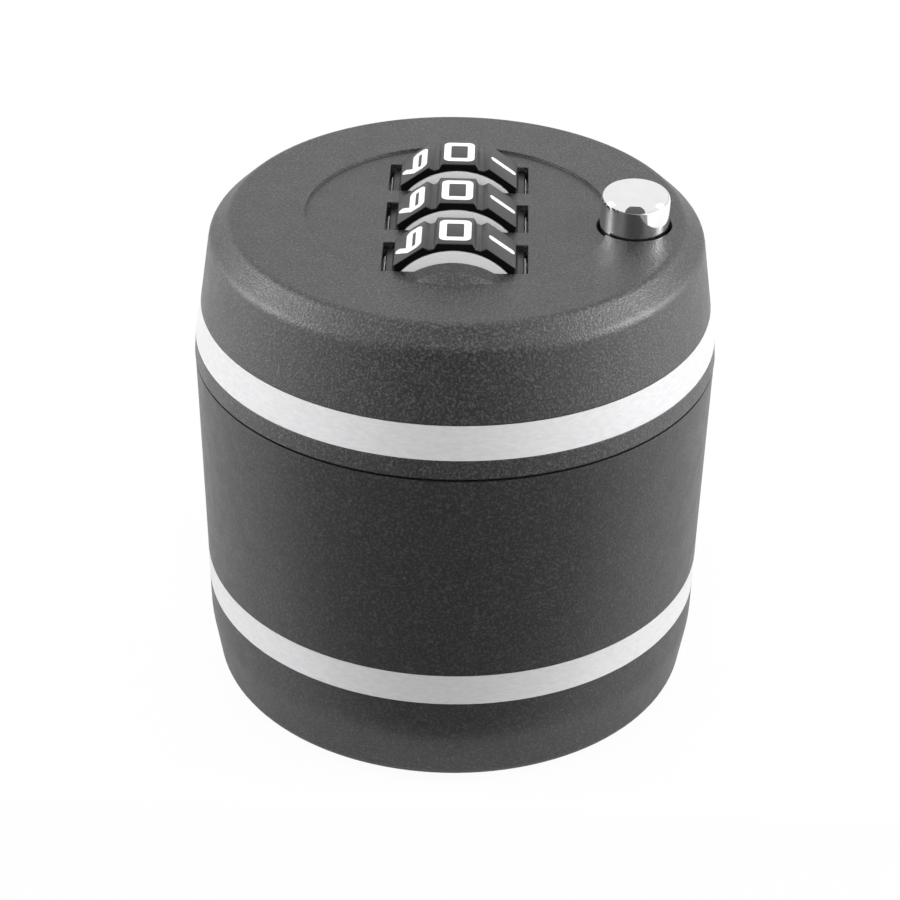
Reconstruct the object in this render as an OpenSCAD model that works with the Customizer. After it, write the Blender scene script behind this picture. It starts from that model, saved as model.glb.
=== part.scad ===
// Combination lock for the neck of a bottle: a fixed head with three number dials and a release
// button, and a sleeve that turns under it. Turning the sleeve drives three padded jaws inwards
// through a spiral cam plate, and a leaf pawl under a crown ratchet holds them shut.
// Millimetres. The origin is on the resting face, on the centre line. Z is up, the front with its
// low dial fairing faces -Y, and the release button stands at +X.

/* [Body] */
// Largest outside diameter, at the joint between head and sleeve
body_d = 60; // [59:0.5:64]
// Height of the turning sleeve
sleeve_h = 42; // [41:0.5:48]
// Height of the fixed head
head_h = 16.7; // [16.5:0.1:19]
// Open joint line between sleeve and head
joint_gap = 0.35; // [0.3:0.05:0.5]
// Wall of the moulded shells
shell_wall = 2.2; // [1.9:0.1:2.4]
// Thickness of the head's top plate
plate_t = 2; // [1.6:0.1:2.2]
// Height of the bright bands
band_h = 4; // [3:0.25:5]
// Depth of the grooves that the bands lie in
band_depth = 0.8; // [0.6:0.1:1.1]
// Height of the lower band's bottom edge
low_band_z = 11.9; // [10:0.1:15]
// Height of the upper band's bottom edge above the joint line
high_band_rise = 2.2; // [1.6:0.1:3]

/* [Top plate] */
// Diameter of the sunk round deck in the top plate
deck_d = 34.4; // [33.6:0.2:36]
// Depth of the sunk deck
deck_drop = 0.3; // [0.2:0.05:0.5]
// Radius of the low fairing in front of the dials
fairing_r = 8.5; // [8.4:0.05:8.8]
// Depth of the fairing's own axis below the dial axle
fairing_drop = 2.05; // [1.9:0.05:2.2]
// Reach of the fairing in front of the last dial's slot
fairing_reach = 4; // [3.4:0.1:4.4]

/* [Dials] */
// Width of a dial across two opposite number pads
dial_d = 17.3; // [16.8:0.1:17.6]
// Width of a dial ring along its axle
dial_w = 6.3; // [5.8:0.1:6.5]
// Distance from one dial to the next
dial_pitch = 9.8; // [9.6:0.1:10.2]
// Height of the number pads above the deck
dial_rise = 3.4; // [3.1:0.1:3.7]
// Place of the middle dial along the axle
dial_y = -0.6; // [-1:0.1:0.4]
// Numbers on each dial
dial_count = 10; // [8:1:12]
// Half the length of a dial slot in the deck
slot_half = 8; // [7.8:0.1:8.6]
// Gap between a dial's side and its slot
slot_gap = 0.25; // [0.2:0.05:0.4]
// Diameter of the dial axle
axle_d = 2.5; // [2.2:0.1:2.6]
// Opening number of the rear dial
code_1 = 3; // [1:1:7]
// Opening number of the middle dial
code_2 = 7; // [1:1:7]
// Opening number of the front dial
code_3 = 5; // [1:1:7]

/* [Button] */
// Diameter of the chromed cap
button_d = 7.8; // [7.2:0.1:8]
// Height of the cap above the top plate's rim
button_rise = 4.2; // [3.4:0.1:4.8]
// Travel of the button
button_travel = 2.2; // [1.8:0.1:2.4]
// Distance of the button's axis from the outside of the body
button_inset = 10.1; // [9.9:0.1:10.3]
// Place of the button across the dials
button_y = -1.8; // [-2.2:0.1:-0.8]
// Gap around the cap in its hole
button_gap = 0.35; // [0.3:0.05:0.5]

/* [Neck grip] */
// Room for the jaws and their drive, between the bore for the bottle's neck and the outside
works_w = 13.5; // [13:0.25:14]
// Thickness of the soft disc that the bottle's lip stops against
cushion_t = 1.6; // [1.2:0.2:3]
// Wall of the tube around the neck
core_wall = 1.8; // [1.6:0.1:2]
// Inward travel of each jaw
jaw_travel = 3.3; // [2.6:0.1:3.4]
// Turn of the sleeve that closes the jaws, in degrees
jaw_turn = 75; // [60:5:90]
// Width of a jaw
jaw_w = 9; // [8:0.25:9.5]
// Height of a jaw
jaw_h = 11; // [9:0.25:12]
// Thickness of a jaw's rubber pad
pad_t = 1.6; // [1.2:0.1:2]
// Diameter of the cam pin under each jaw
cam_pin_d = 2.3; // [2:0.1:2.4]
// Thickness of the cam plate
cam_t = 2.5; // [2:0.1:2.6]
// Teeth of the crown ratchet
ratchet_teeth = 36; // [30:2:40]
// Height of a ratchet tooth
tooth_h = 1.2; // [0.9:0.1:1.3]

/* [Fits] */
// Gap between faces that slide or turn past each other
slide_gap = 0.3; // [0.25:0.05:0.35]
// Radial clearance of pins and shafts that turn
run_gap = 0.05; // [0.04:0.01:0.08]
// Gap between fixed pieces that are pushed together
seat_gap = 0.05; // [0.04:0.01:0.08]

/* [Hidden] */
$fn = 96;
eps = 0.01;
black = [0.14, 0.14, 0.15];
dial_black = [0.08, 0.08, 0.09];
hub_gray = [0.76, 0.77, 0.78];
band_silver = [0.86, 0.87, 0.88];
chrome = [0.93, 0.93, 0.95];
steel = [0.62, 0.64, 0.67];
brass = [0.78, 0.64, 0.35];
acetal = [0.9, 0.89, 0.84];
rubber = [0.2, 0.2, 0.2];

// Heights of the sleeve, the head and the floor between them
body_r = body_d / 2;
head_z = sleeve_h + joint_gap;
rim_z = head_z + head_h;
deck_z = rim_z - deck_drop;
under_z = deck_z - plate_t;
floor_t = 1.6;
floor_z = sleeve_h;
floor_top = floor_z + floor_t;
flange_t = 1.8;
flange_z = floor_z - flange_t;
mouth_z = 0.4;

// Outside of the body, from the foot up to the rim of the top plate
foot_r = body_r - 3.7;
foot_edge_r = body_r - 2;
foot_edge_z = 1.25;
belly_r = body_r - 0.95;
belly_z = 7.5;
low_band_r = body_r - 0.83;
low_top_r = body_r - 0.75;
high_band_z = head_z + high_band_rise;
high_bot_r = body_r - 0.15;
high_top_r = body_r - 0.85;
crease_r = body_r - 2;
crease_z = rim_z - 2.25;
rim_r = body_r - 4.4;
foot_round = 0.9;
foot_edge_round = 1.7;
belly_round = 14;
shoulder_round = 16;
crease_round = 1.6;
rim_round = 1.2;

// Bores of the sleeve: a narrow one round the jaws and a wide one round the ratchet
bore_low_r = body_r - shell_wall - 1.2;
bore_high_r = body_r - shell_wall - 0.4;
spigot_h = 3;
spigot_r = bore_high_r - slide_gap;
spigot_in_r = spigot_r - 1.2;
chassis_r = spigot_in_r - 0.2;

// Dials on their axle
axle_z = deck_z + dial_rise - dial_d / 2;
axle_r = axle_d / 2;
dial_apothem = dial_d / 2;
pad_step = 360 / dial_count;
pad_half = pad_step * 0.36;
gap_half = pad_step * 0.05;
pad_corner_r = dial_apothem / cos(pad_half);
ring_floor_r = dial_apothem - 0.35;
hub_rim_r = dial_apothem - 0.95;
hub_core_r = hub_rim_r - 1;
hub_rim_t = 1.2;
gate_r = 2.9;
gate_floor_r = 1.75;
gate_w = 1.8;
gate_notch_w = 2.4;
ring_bevel = 0.25;
front_boss = 0.4;
boss_r = 2.1;
dial_end = dial_pitch - dial_w / 2 - front_boss - 0.2;
slot_w = dial_w + 2 * slot_gap;
codes = [code_1, code_2, code_3];
cheek_t = 2;
cheek_foot = 4.6;
cheek_head = 3;
cheek_front_y = dial_center(3) - dial_w / 2 - front_boss - 0.25;
cheek_back_y = dial_center(1) + dial_end + 0.2;

// Detent leaf under the dials
leaf_t = 0.3;
detent_w = 3;
detent_root_x = -dial_apothem - 0.2;
detent_angle = -90 + pad_step / 2;
peg_r = 0.9;
peg_x = detent_root_x - 1.8;
peg_ys = [dial_center(3) + dial_pitch / 2, dial_center(1) - dial_pitch / 2];

// Comb beside the dials
comb_gap = 0.15;
comb_drop = gate_r - gate_floor_r;
comb_x = pad_corner_r + 0.5;
comb_t = 1.9;
comb_low = axle_z - 3.1;
comb_high = axle_z + 1;
finger_w = 1.2;
finger_y = dial_w / 2 + gate_w / 2;
rail_top = comb_low - 0.2;
spring_y = dial_y + 5.6;
spring_z = axle_z - 1.2;
spring_post_x = comb_x + comb_t + 3;
spring_post_t = 1.3;
spring_post_w = 3.2;
comb_wire = 0.35;
comb_coil_r = 1.15;
comb_peg_r = 0.7;
comb_peg_h = 0.9;
comb_leg_w = 3;
rail_w = 2.4;
rail_out = 2;

// Button, plunger, slug and release pin, from the top down
button_x = body_r - button_inset;
button_r = button_d / 2;
hole_r = button_r + button_gap;
stop_lip = 0.45;
stop_r = hole_r + stop_lip;
stop_t = 1.2;
stack_gap = 0.2;
stop_z = under_z - stack_gap - stop_t;
cap_z = stop_z + stop_t;
cap_top = rim_z + button_rise;
cap_wall = 0.8;
cap_round = 1.1;
tower_wall = 0.9;
tower_in_r = stop_r + stack_gap;
tower_r = tower_in_r + tower_wall;
tower_top = stop_z - button_travel + tower_wall;
stem_r = 1.5;
nose_r = 0.9;
slug_r = 2.4;
slug_hole_r = nose_r + 0.15;
slug_lift = 0.8;
slug_spare = 0.7;
slug_z = floor_top + slug_lift;
slug_top = slug_z + button_travel + slug_spare;
nose_z = slug_top + stack_gap;
stem_z = nose_z + button_travel;
seat_rise = 1.4;
seat_z = slug_top + seat_rise;
seat_t = 1.3;
pin_head_t = 0.8;
pin_head_z = slug_z - stack_gap - pin_head_t;
pin_head_r = 2;
pin_r = 1.3;
pin_boss_r = 2.6;
pin_boss_h = 2.3;
tongue_t = 0.5;
tongue_w = 2;
tongue_rise = 1;
button_wire = 0.45;
button_coil_r = (stem_r + tower_in_r) / 2;
tower_window_w = 4.4;
slug_room = 0.4;

// Screws, with pan heads, and their bosses
screw_edge = 3.1;
screw_ring_r = chassis_r - screw_edge;
screw_head_r = 1.9;
screw_head_t = 1.1;
screw_r = 0.85;
screw_hole_r = 1.15;
screw_pilot_r = 0.9;
chassis_screw_l = 7;
core_screw_l = 6;
tip_room = 1;
head_boss_r = 2.3;
floor_boss_r = 2.2;
floor_boss_h = core_screw_l - flange_t - floor_t + tip_room + 0.8;
chassis_screw_angles = [60, 180, 300];
core_screw_angles = [45, 165, 285];

// Tube around the bottle's neck and the flange in its mouth
neck_r = body_r - works_w;
core_r = neck_r + core_wall;
mouth_flange_t = 1.2;
mouth_flange_r = core_r + 4.8;
ledge_z = mouth_z + mouth_flange_t + slide_gap;
ledge_t = 2;
ledge_r = core_r + slide_gap;
core_z = mouth_z + mouth_flange_t;
thread_r = neck_r + core_wall / 2;
thread_h = 3.4;
mouth_bevel = 0.6;
spanner_r = 0.8;
spanner_depth = 0.7;
cushion_z = flange_z - cushion_t;
cushion_r = neck_r + core_wall / 3;
cushion_face_r = neck_r - slide_gap;
cushion_slope = 0.5;
cushion_hole_r = 3;

// Crown ratchet on the step in the sleeve, with its teeth pointing down
ratchet_t = 2.1;
ratchet_top = flange_z - screw_head_t - slide_gap;
bore_step_z = ratchet_top - ratchet_t - tooth_h;
ratchet_out_r = bore_high_r - 0.1;
ratchet_in_r = button_x + pin_boss_r + slide_gap + 0.1;
tooth_out_r = bore_low_r - 0.6;
tooth_step = 360 / ratchet_teeth;
tooth_run = tooth_out_r * tan(tooth_step);

// Leaf pawl along the tube, from its rivet up to its tip under the teeth; pawl_y points along the turn
pawl_angle = -11;
pawl_t = 0.35;
pawl_w = 3.2;
pawl_in = core_r + 0.6;
pawl_out = pawl_in + pawl_w;
pawl_head = 3;
pawl_head_w = 2.4;
pawl_root_y = -7;
pawl_bend_y = -3.4;
pawl_tip_y = 6.3;
pawl_tip_z = bore_step_z + tooth_h - 0.2;
pawl_lift_angle = 19.8;
pawl_slope = tan(pawl_lift_angle);
pawl_gap = 0.15;
rivet_r = 0.8;
rivet_head_r = 1.4;
rivet_head_t = 0.6;
bracket_t = 1.5;
bracket_h = 4.6;
rivet_y = (pawl_root_y + pawl_bend_y) / 2;
bracket_z = pawl_z(pawl_root_y) - pawl_t;
function pawl_z(y) = pawl_tip_z - pawl_slope * (pawl_tip_y - max(y, pawl_bend_y));
// The release pin's round end stands just off the leaf
pin_pawl_y = norm([button_x, button_y]) * sin(atan2(button_y, button_x) - pawl_angle);
pin_end = pawl_z(pin_pawl_y) + pin_r * (norm([1, pawl_slope]) - 1) + pawl_gap;

// Cam plate, jaws and jaw guide, stacked on the sleeve's ledge
cam_z = ledge_z + ledge_t;
cam_in_r = core_r + 0.6;
cam_out_r = bore_low_r - 0.1;
lug_w = 4;
lug_rise = 0.5;
lug_gap = 0.1;
cam_pin_r = cam_pin_d / 2;
cam_slot_r = cam_pin_r + 0.1;
cam_rest_r = (cam_in_r + cam_out_r) / 2 + jaw_travel / 2;
jaw_z = cam_z + cam_t + slide_gap;
jaw_top = jaw_z + jaw_h;
jaw_out_r = cam_rest_r + 1.6;
pad_face_r = neck_r + 0.25;
jaw_face_r = pad_face_r + pad_t;
grip_r = pad_face_r - jaw_travel;
window_gap = 0.2;
guide_z = jaw_top + 0.2;
guide_t = 1.8;
guide_r = bore_low_r - 0.4;
rib_t = 1.5;
jaw_pocket = 5;
jaw_side = 1.6;
jaw_floor = 2.4;
jaw_roof = 2;
pad_ribs = 4;
pad_rib_depth = 0.5;
pad_rib_gap = 0.9;
key_w = 1.6;
key_h = 0.8;
function dial_center(k) = dial_y + (2 - k) * dial_pitch;
function unit(v) = v / norm(v);
// Points along an arc about c, from angle a0 to angle a1
function arc(c, r, a0, a1, n = 8) =
    [for (i = [0:n]) c + r * [cos(a0 + (a1 - a0) * i / n), sin(a0 + (a1 - a0) * i / n)]];
// Points that round the corner b of the path a, b, c with radius r
function round_corner(a, b, c, r, n = 6) =
    let (u = unit(a - b), w = unit(c - b), half = acos(u * w) / 2,
        o = b + unit(u + w) * r / sin(half), p = b + u * r / tan(half) - o, q = b + w * r / tan(half) - o,
        a0 = atan2(p.y, p.x), sweep = (atan2(q.y, q.x) - a0 + 540) % 360 - 180)
    arc(o, r, a0, a0 + sweep, n);
// A strip of thickness t that hangs below a path of points
function strip(path, t) =
    concat(path, [for (i = [len(path) - 1:-1:0]) path[i] - [0, t]]);

// Outside of the sleeve, from the foot to the joint
foot_path = [[foot_r - 1, 0], [foot_r, 0], [foot_edge_r, foot_edge_z], [belly_r, belly_z],
    [low_band_r, low_band_z], [low_top_r, low_band_z + band_h], [body_r - 0.05, sleeve_h]];
sleeve_outline = concat(
    round_corner(foot_path[0], foot_path[1], foot_path[2], foot_round, 3),
    round_corner(foot_path[1], foot_path[2], foot_path[3], foot_edge_round, 5),
    round_corner(foot_path[2], foot_path[3], foot_path[4], belly_round, 4),
    [foot_path[4], foot_path[5], foot_path[6]]);

// Outside of the head, from the joint to the edge of the sunk deck
head_path = [[body_r, head_z], [high_bot_r, high_band_z], [high_top_r, high_band_z + band_h],
    [crease_r, crease_z], [rim_r, rim_z], [deck_d / 2, rim_z]];
head_outline = concat(
    [head_path[0], head_path[1]],
    round_corner(head_path[1], head_path[2], head_path[3], shoulder_round, 3),
    round_corner(head_path[2], head_path[3], head_path[4], crease_round, 5),
    round_corner(head_path[3], head_path[4], head_path[5], rim_round, 4));

// Turns a child to stand at an angle about the centre line
module at_angle(a) {
    rotate([0, 0, a]) children();
}

// Lays a child on the dial axle of dial k, with the child's Z pointing to the front
module on_axle(k) {
    translate([0, dial_center(k), axle_z]) rotate([90, 0, 0]) children();
}

// A tube or ring between two radii
module ring(r_out, r_in, z0, z1) {
    translate([0, 0, z0]) difference() {
        cylinder(r = r_out, h = z1 - z0);
        translate([0, 0, -eps]) cylinder(r = r_in, h = z1 - z0 + 2 * eps);
    }
}

// A ring of band trim between two heights of a cone
module band(z0, r0, r1) {
    rotate_extrude() polygon([[min(r0, r1) - band_depth + seat_gap, z0 + seat_gap],
        [r0, z0 + seat_gap], [r1, z0 + band_h - seat_gap],
        [min(r0, r1) - band_depth + seat_gap, z0 + band_h - seat_gap]]);
}

// The groove that a band lies in
module band_groove(z0, r0, r1) {
    ring(max(r0, r1) + 1, min(r0, r1) - band_depth, z0, z0 + band_h);
}

// A helix of round wire about Z, from its lowest to its highest coil centre
module coil(r, wire, turns, h, sides = 6, steps = 12) {
    count = round(turns * steps);
    rings = [for (i = [0:count]) let (a = 360 * i / steps, z = h * i / count)
        [for (j = [0:sides - 1]) let (b = 360 * j / sides, d = r + wire / 2 * cos(b))
            [d * cos(a), d * sin(a), z + wire / 2 * sin(b)]]];
    points = [for (loop = rings) for (p = loop) p];
    walls = [for (i = [0:count - 1]) for (j = [0:sides - 1])
        let (k = (j + 1) % sides, a = i * sides + j, b = i * sides + k, c = a + sides, d = b + sides)
        each [[a, b, c], [b, d, c]]];
    low_end = [for (j = [1:sides - 2]) [0, j + 1, j]];
    top = count * sides;
    high_end = [for (j = [1:sides - 2]) [top, top + j, top + j + 1]];
    polyhedron(points, concat(walls, low_end, high_end));
}

// Fixed cover with the dial slots, the button hole and the fairing
module head_shell() {
    color(black) difference() {
        union() {
            rotate_extrude() polygon(concat(
                [[spigot_in_r, head_z - spigot_h], [spigot_r, head_z - spigot_h], [spigot_r, head_z]],
                head_outline,
                [[deck_d / 2, rim_z], [deck_d / 2, deck_z], [0, deck_z], [0, under_z],
                    [rim_r - shell_wall - 1, under_z], [crease_r - shell_wall, crease_z - 1.6],
                    [spigot_in_r, high_band_z + band_h - 1]]));
            fairing();
            for (a = chassis_screw_angles) at_angle(a) translate([screw_ring_r, 0, floor_top])
                cylinder(r = head_boss_r, h = under_z + 1 - floor_top, $fn = 32);
        }
        band_groove(high_band_z, high_bot_r, high_top_r);
        for (k = [1:3]) dial_slot(k);
        translate([button_x, button_y, under_z - 1]) cylinder(r = hole_r, h = plate_t + 3, $fn = 64);
        translate([button_x, button_y, under_z - 4]) cylinder(r = stop_r + slide_gap, h = 4, $fn = 64);
        for (a = chassis_screw_angles) at_angle(a) translate([screw_ring_r, 0, floor_top - eps])
            cylinder(r = screw_pilot_r, h = chassis_screw_l + tip_room, $fn = 24);
    }
}

// Slot for dial k, opened out below the plate round the dial's own circle
module dial_slot(k) {
    translate([-slot_half, dial_center(k) - slot_w / 2, under_z - 1])
        cube([2 * slot_half, slot_w, plate_t + 5]);
    on_axle(k) translate([0, 0, -slot_w / 2]) cylinder(r = pad_corner_r + 0.35, h = slot_w);
}

// Low half-round fairing over the axle's front bearing
module fairing() {
    flat = axle_z - fairing_drop - deck_z;
    reach = slot_w / 2 + fairing_reach;
    crest = reach - fairing_reach * 0.42;
    edge = [fairing_r, crest];
    toe = [-flat, reach];
    intersection() {
        on_axle(3) translate([0, -fairing_drop, 0]) rotate_extrude() polygon(concat(
            [[0, slot_w / 2 - 0.5], [fairing_r, slot_w / 2 - 0.5]],
            round_corner([fairing_r, 0], edge, toe, 0.8, 5),
            [toe, [toe.x - 1.2, reach + 1], [0, reach + 1]]));
        translate([-fairing_r, dial_center(3) - reach - 2, under_z + 0.2])
            cube([2 * fairing_r, fairing_reach + 3, 6]);
    }
}

// Bright band round the head
module upper_band() {
    color(band_silver) band(high_band_z, high_bot_r, high_top_r);
}

// Moulded frame inside the head: floor, axle cheeks, button tower, comb rails and screw bosses
module lock_chassis() {
    color([0.3, 0.31, 0.33]) difference() {
        union() {
            translate([0, 0, floor_z]) cylinder(r = chassis_r, h = floor_t);
            cheek(cheek_front_y - cheek_t);
            cheek(cheek_back_y);
            translate([button_x, button_y, floor_top - eps]) cylinder(r = tower_r, h = tower_top - floor_top);
            for (y = [dial_center(3) + 5.4, dial_center(1) + 0.9]) comb_rail(y);
            translate([spring_post_x, spring_y - spring_post_w / 2, floor_top - eps])
                cube([spring_post_t, spring_post_w, comb_high - floor_top]);
            for (a = core_screw_angles) at_angle(a) translate([screw_ring_r, 0, floor_top - eps])
                cylinder(r = floor_boss_r, h = floor_boss_h, $fn = 32);
            for (y = peg_ys) translate([peg_x, y, floor_top - eps]) cylinder(r = peg_r, h = 1, $fn = 24);
        }
        translate([0, 0, axle_z]) rotate([90, 0, 0])
            cylinder(r = axle_r + seat_gap, h = 60, center = true, $fn = 48);
        tower_cuts();
        for (a = chassis_screw_angles) at_angle(a) translate([screw_ring_r, 0, floor_z - eps])
            cylinder(r = screw_hole_r, h = floor_t + 1, $fn = 24);
        for (a = core_screw_angles) at_angle(a) translate([screw_ring_r, 0, floor_z - eps])
            cylinder(r = screw_pilot_r, h = core_screw_l - flange_t + tip_room, $fn = 24);
    }
}

// Upright that holds one end of the dial axle, ribbed to the floor
module cheek(y0) {
    translate([0, y0 + cheek_t, 0]) rotate([90, 0, 0]) linear_extrude(cheek_t) polygon(concat(
        [[-cheek_foot, floor_top - eps], [cheek_foot, floor_top - eps], [cheek_head, axle_z]],
        arc([0, axle_z], cheek_head, 0, 180, 12), [[-cheek_head, axle_z]]));
}

// Post that the comb slides on
module comb_rail(y) {
    translate([comb_x - slide_gap, y - rail_w / 2, floor_top - eps])
        cube([comb_t + rail_out, rail_w, rail_top - floor_top]);
}

// Bores and openings of the tower under the button
module tower_cuts() {
    slug_run = comb_drop + slug_room / 2;
    translate([button_x, button_y, 0]) {
        translate([0, 0, seat_z + seat_t]) cylinder(r = tower_in_r, h = 20, $fn = 64);
        translate([0, 0, seat_z - 1]) cylinder(r = stem_r + run_gap, h = seat_t + 2, $fn = 48);
        translate([0, 0, floor_top]) cylinder(r = tower_in_r, h = seat_z - floor_top, $fn = 64);
        for (x = [0, slug_run]) translate([-x, 0, floor_z - 1]) cylinder(r = slug_r + slug_room, h = 4);
        translate([-slug_run, -slug_r - slug_room, floor_z - 1])
            cube([slug_run, 2 * (slug_r + slug_room), 4]);
        translate([-tower_r - 1, -tower_window_w / 2, floor_top])
            cube([tower_r, tower_window_w, seat_z - floor_top - 1]);
    }
}

// Steel axle of the three dials
module dial_axle() {
    color(steel) translate([0, cheek_back_y + cheek_t, axle_z]) rotate([90, 0, 0])
        cylinder(r = axle_r, h = cheek_back_y - cheek_front_y + 2 * cheek_t, $fn = 48);
}

// Outline of a dial ring: flat number pads with sloped gaps between them
module pad_outline() {
    polygon([for (i = [0:dial_count - 1]) for (s = [-1, 1]) let (a = 90 + i * pad_step)
        each (s < 0
            ? [pad_point(a - pad_step / 2 + gap_half, ring_floor_r), pad_point(a - pad_half, pad_corner_r)]
            : [pad_point(a + pad_half, pad_corner_r),
                pad_point(a + pad_step / 2 - gap_half, ring_floor_r)])]);
}
function pad_point(a, r) = r * [cos(a), sin(a)];

// Number ring of dial k
module dial_ring(k) {
    half = dial_w / 2;
    out_r = pad_corner_r + ring_bevel / 2;
    cut = 1.5 * ring_bevel;
    color(dial_black) on_axle(k) difference() {
        intersection() {
            translate([0, 0, -half]) linear_extrude(dial_w) pad_outline();
            rotate_extrude() polygon([[0, -half], [out_r - cut, -half], [out_r, cut - half],
                [out_r, half - cut], [out_r - cut, half], [0, half]]);
        }
        translate([0, 0, -dial_w]) cylinder(r = hub_core_r + seat_gap, h = 2 * dial_w);
        translate([0, 0, dial_w / 2 - hub_rim_t - seat_gap]) cylinder(r = hub_rim_r + seat_gap, h = dial_w);
    }
}

// Hub of dial k, with the collar that the comb feels for its gate
module dial_hub(k) {
    gate_angle = -codes[k - 1] * pad_step;
    color(hub_gray) on_axle(k) difference() {
        union() {
            translate([0, 0, dial_w / 2 - hub_rim_t]) cylinder(r = hub_rim_r, h = hub_rim_t);
            translate([0, 0, -dial_w / 2]) cylinder(r = hub_core_r, h = dial_w);
            translate([0, 0, dial_w / 2 - eps]) cylinder(r = boss_r, h = front_boss);
            translate([0, 0, -dial_end]) cylinder(r = boss_r, h = dial_end, $fn = 48);
            translate([0, 0, -dial_w / 2 - gate_w]) cylinder(r = gate_r, h = gate_w + eps, $fn = 48);
        }
        translate([0, 0, -dial_end - 1]) cylinder(r = axle_r + run_gap, h = 2 * dial_end, $fn = 48);
        rotate([0, 0, gate_angle])
            translate([gate_floor_r, -gate_notch_w / 2, -dial_w / 2 - gate_w - eps])
            cube([gate_r, gate_notch_w, gate_w]);
    }
}

// Leaf spring whose three fingers click into the gaps between the number pads
module detent_spring() {
    bump = [(ring_floor_r + 0.15) * cos(detent_angle), axle_z + (ring_floor_r + 0.15) * sin(detent_angle)];
    low = axle_z - pad_corner_r - 0.15;
    root = floor_top + leaf_t;
    color(steel) difference() {
        union() {
            for (k = [1:3]) translate([0, dial_center(k) + detent_w / 2, 0]) rotate([90, 0, 0])
                linear_extrude(detent_w) polygon(strip([
                    [detent_root_x - 0.5, root], [detent_root_x + 2, root], [-1.2, low],
                    [bump.x - 0.6, low], [bump.x, bump.y], [bump.x + 0.9, low + 0.1],
                    [bump.x + 1.9, low - 0.1]], leaf_t));
            translate([detent_root_x - 3.4, dial_center(3) - detent_w / 2, floor_top])
                cube([3.4, 2 * dial_pitch + detent_w, leaf_t]);
        }
        for (y = peg_ys) translate([peg_x, y, floor_top - 1]) cylinder(r = peg_r + seat_gap, h = 3, $fn = 24);
    }
}

// Comb that drops into the three gates, with the slug that couples button and release pin
module code_comb() {
    color(acetal) {
        difference() {
            union() {
                translate([comb_x, dial_center(3) + finger_y - finger_w / 2, comb_low])
                    cube([comb_t, 2 * dial_pitch + finger_w, comb_high - comb_low]);
                for (k = [1:3])
                    translate([gate_r + comb_gap, dial_center(k) + finger_y - finger_w / 2, axle_z - 1])
                        cube([comb_x - gate_r - comb_gap + eps, finger_w, comb_high - axle_z + 1]);
                translate([comb_x, button_y - comb_leg_w / 2, slug_z + tongue_rise])
                    cube([comb_t, comb_leg_w, comb_low - slug_z]);
                translate([comb_x + eps, button_y - tongue_w / 2, slug_z + tongue_rise])
                    cube([button_x - comb_x, tongue_w, tongue_t]);
                translate([button_x, button_y, slug_z]) cylinder(r = slug_r, h = slug_top - slug_z, $fn = 48);
                translate([comb_x + comb_t - eps, spring_y, spring_z]) rotate([0, 90, 0])
                    cylinder(r = comb_peg_r, h = comb_peg_h, $fn = 24);
            }
            translate([button_x, button_y, slug_z - 1])
                cylinder(r = slug_hole_r, h = slug_top - slug_z + 2, $fn = 48);
        }
    }
}

// Spring that presses the comb towards the dials
module comb_spring() {
    gap = spring_post_x - comb_x - comb_t;
    color(steel) translate([comb_x + comb_t + comb_wire / 2 + seat_gap, spring_y, spring_z])
        rotate([0, 90, 0]) coil(comb_coil_r, comb_wire, 4, gap - comb_wire - 2 * seat_gap);
}

// Chromed cap of the release button
module button_cap() {
    color(chrome) translate([button_x, button_y, 0]) rotate_extrude() polygon(concat(
        [[button_r - cap_wall, cap_z], [button_r, cap_z]],
        round_corner([button_r, cap_z], [button_r, cap_top], [0, cap_top], cap_round, 8),
        [[0, cap_top], [0, cap_top - cap_wall], [button_r - cap_wall, cap_top - cap_wall]]));
}

// Plunger under the cap: core, stop flange, stem and nose
module button_plunger() {
    color(dial_black) translate([button_x, button_y, 0]) {
        translate([0, 0, cap_z - eps])
            cylinder(r = button_r - cap_wall - seat_gap, h = cap_top - cap_wall - seat_gap - cap_z, $fn = 64);
        translate([0, 0, stop_z]) cylinder(r = stop_r, h = stop_t, $fn = 64);
        translate([0, 0, stem_z]) cylinder(r = stem_r, h = stop_z - stem_z + eps, $fn = 48);
        translate([0, 0, nose_z]) cylinder(r = nose_r, h = stem_z - nose_z + eps, $fn = 32);
    }
}

// Return spring of the button
module button_spring() {
    room = stop_z - seat_z - seat_t;
    color(steel) translate([button_x, button_y, seat_z + seat_t + button_wire / 2 + seat_gap])
        coil(button_coil_r, button_wire, 4, room - button_wire - 2 * seat_gap);
}

// Pin that carries the button's push down to the leaf pawl
module release_pin() {
    color(steel) translate([button_x, button_y, 0]) {
        translate([0, 0, pin_head_z]) cylinder(r = pin_head_r, h = pin_head_t, $fn = 48);
        translate([0, 0, pin_end + pin_r])
            cylinder(r = pin_r, h = pin_head_z - pin_end - pin_r + eps, $fn = 48);
        translate([0, 0, pin_end + pin_r]) sphere(r = pin_r, $fn = 48);
    }
}

// Spring steel leaf whose head springs up between the ratchet teeth
module leaf_pawl() {
    root = [pawl_root_y, pawl_z(pawl_root_y)];
    bend = [pawl_bend_y, root.y];
    tip = [pawl_tip_y, pawl_tip_z];
    head = [pawl_tip_y - pawl_head_w, pawl_z(pawl_tip_y - pawl_head_w)];
    color(steel) at_angle(pawl_angle) difference() {
        union() {
            translate([pawl_in, 0, 0]) rotate([90, 0, 90]) linear_extrude(pawl_w)
                polygon(strip([root, bend, tip], pawl_t));
            translate([pawl_out - eps, 0, 0]) rotate([90, 0, 90]) linear_extrude(pawl_head)
                polygon(strip([head, tip], pawl_t));
        }
        translate([pawl_in + pawl_w / 2, rivet_y, bracket_z - 1])
            cylinder(r = rivet_r + seat_gap, h = 3, $fn = 24);
    }
}

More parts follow.
